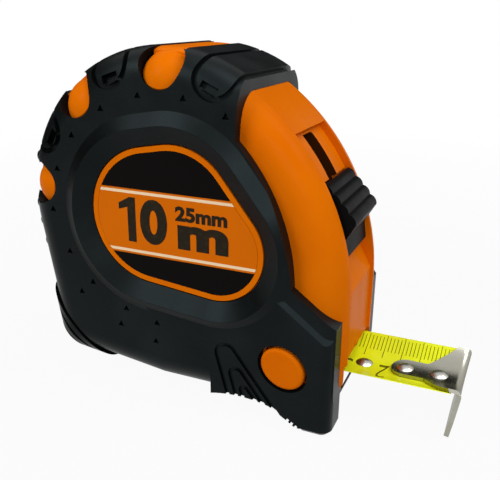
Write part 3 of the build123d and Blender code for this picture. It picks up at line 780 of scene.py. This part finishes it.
@dataclass
class Label:
    """The plate in the near side's bed; its numerals' places are measured from the reel's axle."""

    ink_depth: float = 0.06 * MM
    foot: float = -8.2 * MM
    one_left: float = -11.6 * MM
    one_size: Size = (5.0 * MM, 12.0 * MM)
    one_stem: float = 2.4 * MM
    one_flag: float = 1.7 * MM
    one_drop: float = 0.75      # from its top to the flag's tip, in stems
    one_lean: float = 0.25      # how far its top is cut back, in stems
    one_root: float = 0.5       # how far the flag rises to the stem, in flags
    nought_left: float = -5.3 * MM
    nought_size: Size = (8.0 * MM, 12.1 * MM)
    nought_weight: float = 0.045
    unit_left: float = 5.7 * MM
    unit_size: Size = (14.2 * MM, 6.5 * MM)
    unit_weight: float = 0.050
    width_left: float = 5.1 * MM
    width_foot: float = -0.8 * MM
    width_size: Size = (14.5 * MM, 3.9 * MM)
    width_weight: float = 0.045
    film: LabelPrint = LabelPrint()
    ink: PrintInk = PrintInk("label_ink")

    def dress(self) -> None:
        """Prints the plate and sets its numerals."""
        paint(self.film, "label_plate")
        ink = self.ink.make()
        nought = fitted(lettered("0", self.nought_weight), self.nought_size, self.ink_depth)
        self.set("label_length", joined(nought, self.one()), self.nought_left, self.foot, ink)
        unit = fitted(lettered("m", self.unit_weight), self.unit_size, self.ink_depth)
        self.set("label_unit", unit, self.unit_left, self.foot, ink)
        width = fitted(lettered("25mm", self.width_weight), self.width_size, self.ink_depth)
        self.set("label_width", width, self.width_left, self.width_foot, ink)

    def one(self) -> Shape:
        """Draws an upright 1 with a slanting flag, lying in XY to the left of the nought.

        Returns:
            The thin solid.
        """
        width, height = self.one_size
        left, shoulder = width - self.one_stem, height - self.one_drop * self.one_stem
        outline = ((left, 0), (width, 0), (width, height),
                   (left + self.one_lean * self.one_stem, height), (0, shoulder),
                   (0, shoulder - self.one_flag),
                   (left, shoulder - self.one_root * self.one_flag))
        shape = bmesh.new()
        shape.faces.new([shape.verts.new((x, y, 0.0)) for x, y in outline])
        thickened(shape, self.ink_depth)
        bmesh.ops.translate(shape, verts=shape.verts,
                            vec=(self.one_left - self.nought_left, 0.0, 0.0))
        return shape

    def set(self, name: str, shape: Shape, left: float, foot: float,
            ink: bpy.types.Material) -> None:
        """Sets one word on the plate's outer face.

        Args:
            name: the piece's name.
            shape: the word, lying in XY.
            left: its left end along X.
            foot: its foot along Z.
            ink: its material.
        """
        axle = middle_of("axle")
        place = Vector((axle.x + left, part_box("label_plate")[0].y, axle.z + foot))
        turn = Matrix.Translation(place) @ Matrix.Rotation(pi / 2, 4, "X")
        bmesh.ops.transform(shape, matrix=turn, verts=shape.verts)
        finished(shape, name, ink, Body.CASE)


@dataclass
class Blade:
    """The printed blade: its lacquer, its graduations along the far edge and its numerals."""

    thickness: float = 0.2 * MM
    ink_depth: float = 0.09 * MM
    ink_sunk: float = 0.03 * MM
    step: float = 1.0 * MM
    tick_width: float = 0.18 * MM
    tick_parts: int = 6
    short_tick: float = 5.4 * MM
    long_tick: float = 8.0 * MM
    long_every: int = 5
    edge_margin: float = 0.1 * MM
    numeral_every: int = 10
    first_numeral: int = 2
    numeral_size: Size = (2.7 * MM, 9.4 * MM)
    numeral_top: float = 0.8 * MM
    numeral_gap: float = 0.3 * MM
    numeral_weight: float = -0.012
    numeral_slices: int = 11
    lacquer: BladeLacquer = BladeLacquer()
    ink: PrintInk = PrintInk("blade_ink", printed(92, 90, 8), printed(138, 136, 18))
    low: Vector = field(init=False)
    high: Vector = field(init=False)
    middle: float = field(init=False)
    half: float = field(init=False)
    radius: float = field(init=False)
    centre: float = field(init=False)

    def __post_init__(self) -> None:
        """Works out the hollow's circle from the blade's box."""
        self.low, self.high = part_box("blade_run")
        self.middle = (self.low.y + self.high.y) / 2
        self.half = (self.high.y - self.low.y) / 2
        sag = self.high.z - self.low.z - self.thickness
        self.radius = (self.half ** 2 + sag ** 2) / (2 * sag)
        self.centre = self.low.z + self.thickness + self.radius

    def surface(self, across: float) -> float:
        """Gives the height of the blade's upper face at a distance from its middle line."""
        return self.centre - sqrt(self.radius ** 2 - across ** 2)

    def lay(self, shape: Shape) -> None:
        """Bends a flat shape, at height zero where it meets the blade, onto the hollow face."""
        for vert in shape.verts:
            vert.co.z += self.surface(min(max(vert.co.y - self.middle, -self.half), self.half))

    def dress(self) -> None:
        """Lacquers the blade and prints it."""
        paint(self.lacquer, "blade_run", "blade_coil")
        ink = self.ink.make()
        self.graduate(ink)
        self.number(ink)

    def graduate(self, ink: bpy.types.Material) -> None:
        """Draws a line at each millimetre, longer at each fifth.

        Args:
            ink: the lines' material.
        """
        shape = bmesh.new()
        far_edge = self.middle + self.half - self.edge_margin
        for count in range(1, int((self.high.x - self.low.x) / self.step)):
            length = self.short_tick if count % self.long_every else self.long_tick
            at = (self.high.x - count * self.step, far_edge - length / 2, -self.ink_sunk)
            size = Matrix.Diagonal((self.tick_width / 2, length / 2, 1, 1))
            bmesh.ops.create_grid(shape, x_segments=1, y_segments=self.tick_parts, size=1,
                                  matrix=Matrix.Translation(at) @ size)
        thickened(shape, self.ink_depth)
        self.lay(shape)
        finished(shape, "blade_graduations", ink, Body.BLADE)

    def number(self, ink: bpy.types.Material) -> None:
        """Sets the centimetre numerals, read from the far side.

        Args:
            ink: the numerals' material.
        """
        shape = bmesh.new()
        width, height = self.numeral_size
        top = self.middle + self.numeral_top
        last = int((self.high.x - self.low.x) / (self.numeral_every * self.step))
        for count in range(self.first_numeral, last + 1):
            digit = lettered(str(count), self.numeral_weight)
            fitted(digit, self.numeral_size, self.ink_depth)
            line = self.high.x - self.numeral_every * count * self.step
            at = (line + width + self.numeral_gap, top, -self.ink_sunk)
            turn = Matrix.Translation(at) @ Matrix.Rotation(pi, 4, "Z")
            bmesh.ops.transform(digit, matrix=turn, verts=digit.verts)
            joined(shape, digit)
        for cut in range(1, self.numeral_slices):
            level = top - cut * height / self.numeral_slices
            bmesh.ops.bisect_plane(shape, geom=[*shape.verts, *shape.edges, *shape.faces],
                                   dist=MERGE, plane_co=(0, level, 0), plane_no=(0, 1, 0))
        self.lay(shape)
        finished(shape, "blade_numerals", ink, Body.BLADE)


@dataclass
class Metalwork:
    """The hook, rivets, clip, screws, axle and power spring."""

    bright: PlatedSteel = PlatedSteel(
        "hook_bright_plating", (0.40, 0.39, 0.33),
        smooth=0.20, dull=0.30, lines=0.05, drawn=(1.0, 1.0, 0.06))
    rivet: PlatedSteel = PlatedSteel(
        "rivet_bright_plating", (0.46, 0.45, 0.41), smooth=0.24, dull=0.34, lines=0.03)
    plain: PlatedSteel = PlatedSteel(
        "clip_satin_plating", (0.55, 0.55, 0.54),
        smooth=0.28, dull=0.36, lines=0.12, drawn=(1.0, 1.0, 0.05))
    spring: PlatedSteel = BLUE_STEEL

    def dress(self) -> None:
        """Gives the metal pieces their finishes."""
        paint(self.bright, "end_hook")
        paint(self.rivet, "hook_rivets", "tail_rivet")
        paint(self.plain, "belt_clip", "case_screws", "clip_screw", "axle", "blade_backing")
        paint(self.spring, "power_spring")


@dataclass
class ButtonSpring:
    """The stop button's return spring."""

    coil: float = 4.0 * MM
    wire: float = 0.4 * MM
    loops: float = 2.5
    travel: float = 1.4 * MM
    steps: int = 60
    sides: int = 8
    steel: PlatedSteel = replace(BLUE_STEEL, name="button_spring_steel")

    def build(self, seat: Vector, rise: float) -> Shape:
        """Winds the wire about the button's axis.

        Args:
            seat: the middle of the coil's fixed end.
            rise: how far the wire's middle line runs from there.

        Returns:
            The closed tube.
        """
        shape = bmesh.new()
        start = Matrix.Translation(seat + Vector((self.coil, 0.0, 0.0)))
        bmesh.ops.create_circle(shape, segments=self.sides, radius=0.5 * self.wire, matrix=start)
        bmesh.ops.spin(shape, geom=shape.edges[:], cent=seat, axis=(0.0, -1.0, 0.0),
                       dvec=(0.0, -rise / self.steps, 0.0), angle=self.loops * 2 * pi,
                       steps=self.steps)
        open_ends = [edge for edge in shape.edges if edge.is_boundary]
        bmesh.ops.holes_fill(shape, edges=open_ends, sides=0)
        return shape

    def dress(self) -> None:
        """Puts the wound spring in its CAD solid's place, riding on the case, and hides that solid.
        """
        low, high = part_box("button_spring")
        middle = 0.5 * (low + high)
        length = high.y - low.y
        seat = Vector((middle.x, high.y - 0.5 * self.wire, middle.z))
        piece = finished(self.build(seat, length - self.wire), "button_spring_wire",
                         self.steel.make(), Body.CASE)
        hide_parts("button_spring")
        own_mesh(piece)


@dataclass
class Reel:
    """The drum inside the case and its cover."""

    drum: MouldedPlastic = MouldedPlastic(
        "drum_grey_plastic", printed(52, 52, 54), printed(44, 44, 46), smooth=0.36, dull=0.5)

    def dress(self) -> None:
        """Gives the drum its finish."""
        paint(self.drum, "reel_drum", "drum_cover")


@dataclass(frozen=True)
class Softbox:
    """A square lamp that looks at the object."""

    name: str
    place: Place
    size: float
    power: float
    tint: Colour = (0.94, 0.98, 1.0)

    def hang(self, aim: Vector) -> None:
        """Hangs the lamp and turns it to a point.

        Args:
            aim: the point.
        """
        lamp = bpy.data.lights.new(self.name, "AREA")
        lamp.size, lamp.energy, lamp.color = self.size, self.power, self.tint
        holder = bpy.data.objects.new(self.name, lamp)
        holder.location = self.place
        holder.rotation_mode = "QUATERNION"
        holder.rotation_quaternion = (aim - Vector(self.place)).to_track_quat("-Z", "Y")
        bpy.context.scene.collection.objects.link(holder)
        log.info("%s: %.1f W", self.name, self.power)


@dataclass(frozen=True)
class DarkCard:
    """An upright card that turns to a point."""

    name: str
    place: Place
    size: Size

    def build(self, aim: Vector) -> Shape:
        """Cuts the card and turns it to a point.

        Args:
            aim: the point.

        Returns:
            The flat shape in its place.
        """
        shape = bmesh.new()
        bmesh.ops.create_grid(shape, x_segments=1, y_segments=1, size=0.5)
        place = Vector(self.place)
        turn = (aim - place).to_track_quat("Z", "Y").to_matrix().to_4x4()
        size = Matrix.Diagonal((*self.size, 1.0, 1.0))
        bmesh.ops.transform(shape, matrix=Matrix.Translation(place) @ turn @ size,
                            verts=shape.verts)
        return shape


@dataclass
class Studio:
    """The floor, the lamps, the white surroundings and the camera.

    The eye is measured from the middle of the reel's axle, the lens and the sensor in millimetres
    of film. The floor is near_white close to the object and white from far outwards.
    """

    eye: Place = (84.83 * MM, -158.87 * MM, 49.27 * MM)
    azimuth: float = 23.177
    elevation: float = 19.130
    roll: float = 0.613
    lens: float = 47.52
    sensor: float = 36.0
    clip_range: Span = (0.01, 20.0)
    floor_half: float = 3.0
    floor_grey: Tint = (0.45, 0.45, 0.45, 1.0)
    floor_gloss: float = 0.1
    near_white: float = 0.94
    near: float = 0.12
    far: float = 0.45
    card_grey: Tint = (0.02, 0.02, 0.02, 1.0)
    matt: float = 0.9
    ambient: float = 0.16
    white: Tint = (1.0, 1.0, 1.0, 1.0)
    aim: Place = (0.0, 0.0, 0.04)
    cards: tuple[DarkCard, ...] = (
        DarkCard("dark_card", (-0.20, 0.50, 0.26), (0.70, 0.42)),
        DarkCard("left_card", (-0.28, 0.00, 0.13), (0.60, 0.24)),
    )
    lamps: tuple[Softbox, ...] = (
        Softbox("key_softbox", (-0.40, -0.52, 0.50), 0.34, 2.7),
        Softbox("side_softbox", (0.50, 0.15, 0.62), 0.36, 2.0),
        Softbox("top_softbox", (0.16, -0.16, 0.80), 0.40, 2.2),
        Softbox("front_softbox", (0.36, -0.65, 0.39), 0.26, 1.7),
    )

    def build(self) -> None:
        """Makes the whole set."""
        self.make_floor()
        self.make_world()
        self.make_cards()
        for lamp in self.lamps:
            lamp.hang(Vector(self.aim))
        self.make_camera()
        bpy.context.scene.view_settings.view_transform = "Standard"

    def make_floor(self) -> None:
        """Lays a plain floor that takes the object's shadow and runs into the white around it."""
        shape = bmesh.new()
        bmesh.ops.create_grid(shape, x_segments=1, y_segments=1, size=self.floor_half)
        bench = NodeBench("floor_white")
        bench.set(Base_Color=self.floor_grey, Roughness=self.matt,
                  Specular_IOR_Level=self.floor_gloss)
        away = bench.add("ShaderNodeVectorMath", operation="LENGTH")
        bench.feed(away.inputs[0], bench.place)
        white = bench.ranged(away.outputs["Value"], self.near_white, 1.0, self.near, self.far)
        glow = bench.add("ShaderNodeEmission")
        blend = bench.add("ShaderNodeMixShader")
        bench.feed(blend.inputs[0], bench.math(Sum.MULTIPLY, sight(bench.tree), white))
        bench.feed(blend.inputs[1], bench.shader.outputs[0])
        bench.feed(blend.inputs[2], glow.outputs[0])
        bench.feed(bench.tree.nodes["Material Output"].inputs["Surface"], blend.outputs[0])
        placed(shape, "floor", bench.material)

    def make_cards(self) -> None:
        """Stands dark cards around the object for gloss to show, out of the camera's sight."""
        bench = NodeBench("card_dark")
        bench.set(Base_Color=self.card_grey, Roughness=self.matt, Specular_IOR_Level=0.0)
        for card in self.cards:
            piece = placed(card.build(middle_of("end_hook")), card.name, bench.material)
            piece.visible_camera = piece.visible_diffuse = piece.visible_shadow = False

    def make_world(self) -> None:
        """Surrounds the object with white that lights it at a plain level."""
        world = bpy.data.worlds.new("surroundings")
        world.use_nodes = True
        bpy.context.scene.world = world
        nodes, links = world.node_tree.nodes, world.node_tree.links
        level = nodes.new("ShaderNodeMapRange")
        level.inputs["To Min"].default_value = self.ambient
        level.inputs["To Max"].default_value = 1.0
        links.new(sight(world.node_tree), level.inputs["Value"])
        links.new(level.outputs[0], nodes["Background"].inputs["Strength"])
        nodes["Background"].inputs["Color"].default_value = self.white

    def make_camera(self) -> None:
        """Stands the camera where the photograph was taken from."""
        turn, lift, lean = (radians(v) for v in (self.azimuth, self.elevation, self.roll))
        back = Vector((sin(turn) * cos(lift), -cos(turn) * cos(lift), sin(lift)))
        right = Vector((cos(turn), sin(turn), 0.0))
        up = back.cross(right)
        right, up = cos(lean) * right + sin(lean) * up, cos(lean) * up - sin(lean) * right
        data = bpy.data.cameras.new("camera")
        data.lens, data.sensor_width, data.sensor_fit = self.lens, self.sensor, "HORIZONTAL"
        data.clip_start, data.clip_end = self.clip_range
        camera = bpy.data.objects.new("camera", data)
        camera.matrix_world = Matrix((right, up, back)).transposed().to_4x4()
        camera.location = middle_of("axle") + Vector(self.eye)
        bpy.context.scene.collection.objects.link(camera)
        bpy.context.scene.camera = camera
        log.info("camera: %.2f mm lens", self.lens)


def main() -> None:
    """Dresses every part of the tape measure in order."""
    logging.basicConfig(level=logging.INFO, format="%(message)s")
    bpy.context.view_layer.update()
    for part in (Housing(), Label(), Blade(), Metalwork(), ButtonSpring(), Reel()):
        part.dress()
    Studio().build()


if __name__ == "__main__":
    main()
